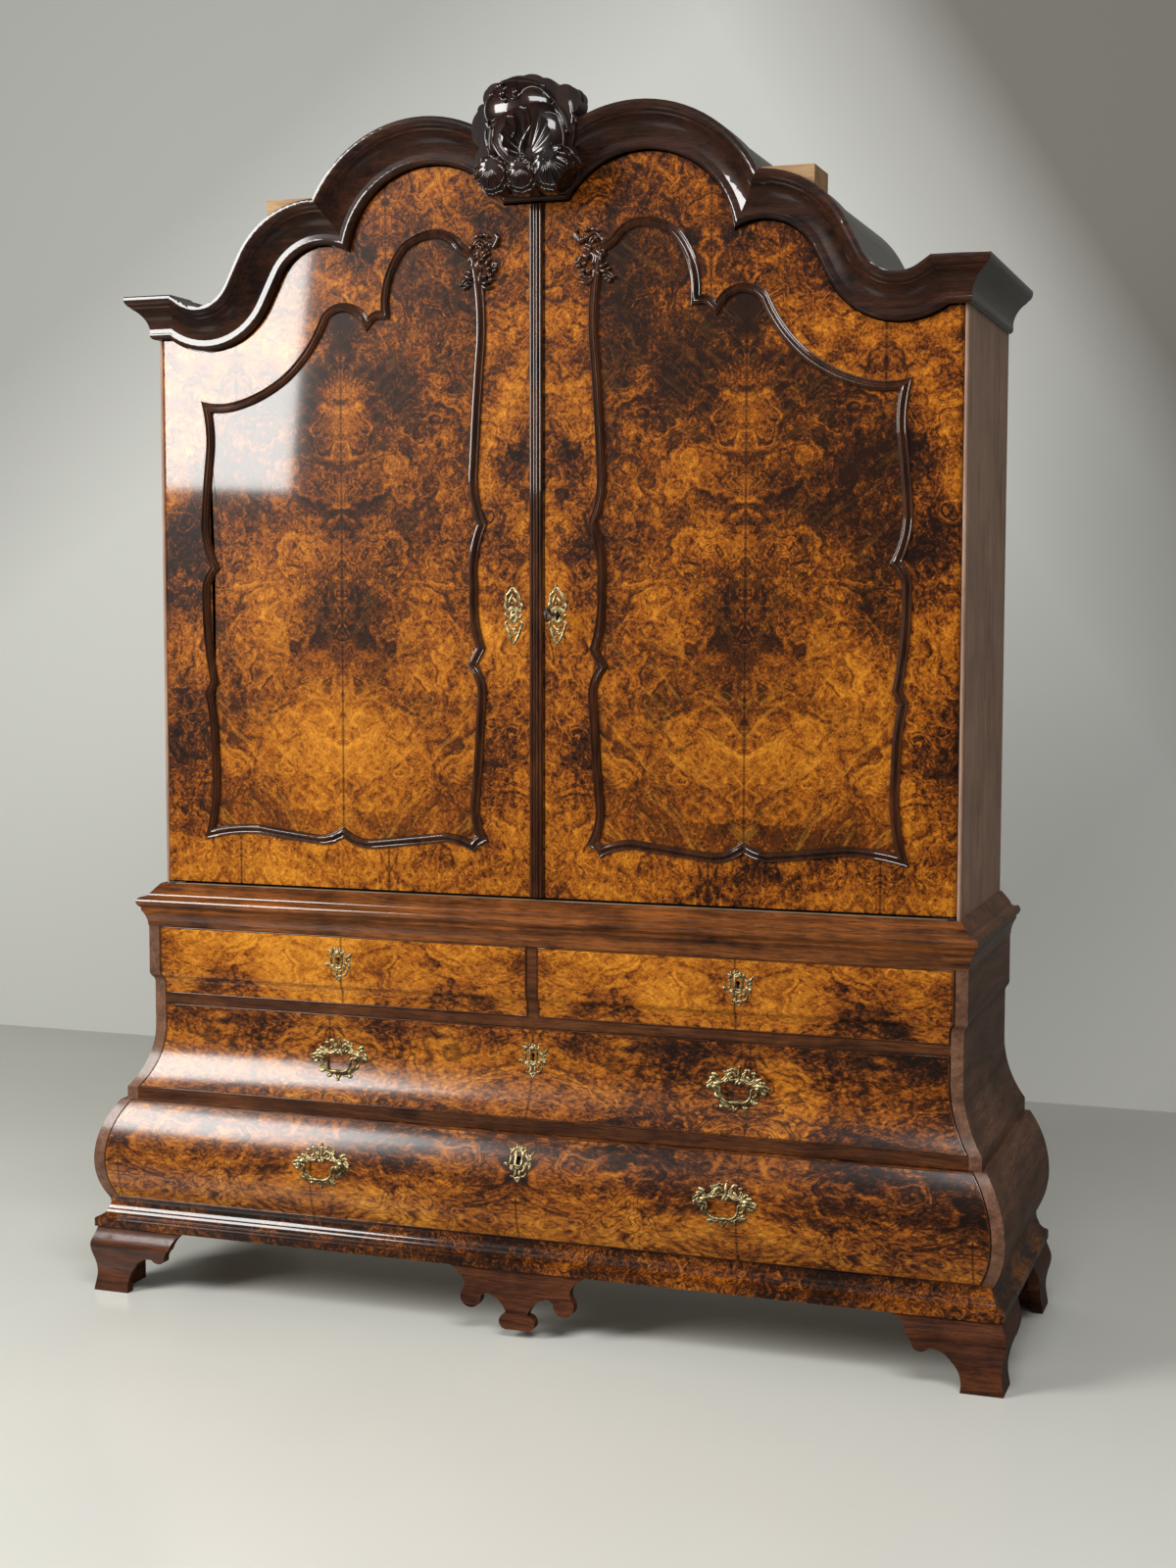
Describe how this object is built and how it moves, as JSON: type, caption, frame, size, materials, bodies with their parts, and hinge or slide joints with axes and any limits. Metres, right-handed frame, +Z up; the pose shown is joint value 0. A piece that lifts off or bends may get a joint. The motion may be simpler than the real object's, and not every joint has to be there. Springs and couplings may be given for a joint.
{
  "type": "two-door arched cupboard on a drawer chest",
  "caption": "Tall walnut cupboard with arched cornice, carved crest and two panelled doors, standing on a swelling chest with drawers, brass mounts and bracket feet.",
  "frame": {"origin": "centre of the bounding box on the floor", "axes": "+X to the cupboard's right as seen from the front, the front faces -Y, +Z up"},
  "size_m": [1.9324, 0.6146, 2.4631],
  "materials": {
    "burr": "French polished burr walnut veneer",
    "dark": "dark stained and polished walnut",
    "side": "plain walnut, dull polish",
    "oak": "bare oak",
    "brass": "cast brass, worn gilt",
    "steel": "forged iron, oiled"
  },
  "bodies": {
    "case": {"drawer_rails": "burr", "foot_front_left": "burr", "foot_front_right": "burr", "apron_pendant": "burr", "base_moulding": "burr", "cornice_front": "dark", "cornice_returns": "dark", "crest": "dark", "waist_moulding": "dark", "lower_side_left": "side", "lower_side_right": "side", "upper_side_left": "side", "upper_side_right": "side", "foot_rear_left": "side", "foot_rear_right": "side", "lower_back": "oak", "lower_top": "oak", "lower_bottom": "oak", "drawer_runners": "oak", "upper_back": "oak", "upper_roof": "oak", "upper_floor": "oak", "cornice_rail": "oak", "shelf_lower": "oak", "shelf_middle": "oak", "shelf_upper": "oak", "shelf_bearers": "oak", "vase_stands": "oak", "pivot_plates": "steel"},
    "left_door": {"left_door": "burr", "left_door_moulding": "dark", "left_door_carving": "dark", "left_door_escutcheon": "brass", "meeting_moulding": "dark", "left_door_keep": "steel", "left_door_staples": "steel"},
    "left_door_foot_bolt": {"left_door_bolt": "steel"},
    "right_door": {"right_door": "burr", "right_door_moulding": "dark", "right_door_carving": "dark", "right_door_escutcheon": "brass", "door_lock": "steel"},
    "lock_bolt": {"lock_bolt": "steel"},
    "key": {"key": "steel"},
    "small_drawer_left": {"small_drawer_left_front": "burr", "small_drawer_left_box": "oak", "small_drawer_left_escutcheon": "brass"},
    "small_drawer_right": {"small_drawer_right_front": "burr", "small_drawer_right_box": "oak", "small_drawer_right_escutcheon": "brass"},
    "middle_drawer": {"middle_drawer_front": "burr", "middle_drawer_box": "oak", "middle_drawer_mounts": "brass"},
    "bottom_drawer": {"bottom_drawer_front": "burr", "bottom_drawer_box": "oak", "bottom_drawer_mounts": "brass"},
    "middle_bail_left": {"middle_drawer_bail_left": "brass"},
    "middle_bail_right": {"middle_drawer_bail_right": "brass"},
    "bottom_bail_left": {"bottom_drawer_bail_left": "brass"},
    "bottom_bail_right": {"bottom_drawer_bail_right": "brass"}
  },
  "joints": [
    {"name": "left_door_hinge", "type": "hinge", "parent": "case", "child": "left_door", "pos_m": [-0.831, -0.15772, 1.43], "axis": [0, 0, -1], "range_deg": [0, 100]},
    {"name": "right_door_hinge", "type": "hinge", "parent": "case", "child": "right_door", "pos_m": [0.831, -0.15772, 1.43], "axis": [0, 0, 1], "range_deg": [0, 100]},
    {"name": "left_foot_bolt_slide", "type": "slide", "parent": "left_door", "child": "left_door_foot_bolt", "axis": [0, 0, -1], "range_m": [0, 0.012]},
    {"name": "key_turn", "type": "hinge", "parent": "right_door", "child": "key", "pos_m": [0.043, -0.16572, 1.432], "axis": [0, -1, 0], "range_deg": [0, 90]},
    {"name": "lock_bolt_slide", "type": "slide", "parent": "right_door", "child": "lock_bolt", "axis": [-1, 0, 0], "range_m": [0, 0.012]},
    {"name": "small_drawer_left_slide", "type": "slide", "parent": "case", "child": "small_drawer_left", "axis": [0, -1, 0], "range_m": [0, 0.36]},
    {"name": "small_drawer_right_slide", "type": "slide", "parent": "case", "child": "small_drawer_right", "axis": [0, -1, 0], "range_m": [0, 0.36]},
    {"name": "middle_drawer_slide", "type": "slide", "parent": "case", "child": "middle_drawer", "axis": [0, -1, 0], "range_m": [0, 0.36]},
    {"name": "bottom_drawer_slide", "type": "slide", "parent": "case", "child": "bottom_drawer", "axis": [0, -1, 0], "range_m": [0, 0.36]},
    {"name": "middle_bail_left_swing", "type": "hinge", "parent": "middle_drawer", "child": "middle_bail_left", "pos_m": [-0.426, -0.20839, 0.521], "axis": [-1, 0, 0], "range_deg": [0, 75]},
    {"name": "middle_bail_right_swing", "type": "hinge", "parent": "middle_drawer", "child": "middle_bail_right", "pos_m": [0.426, -0.20839, 0.521], "axis": [-1, 0, 0], "range_deg": [0, 75]},
    {"name": "bottom_bail_left_swing", "type": "hinge", "parent": "bottom_drawer", "child": "bottom_bail_left", "pos_m": [-0.426, -0.2984, 0.316], "axis": [-1, 0, 0], "range_deg": [0, 75]},
    {"name": "bottom_bail_right_swing", "type": "hinge", "parent": "bottom_drawer", "child": "bottom_bail_right", "pos_m": [0.426, -0.2984, 0.316], "axis": [-1, 0, 0], "range_deg": [0, 75]}
  ],
  "couplings": [
    {"joint": "key_turn", "follows": "lock_bolt_slide", "rad_per_m": 130.89}
  ]
}
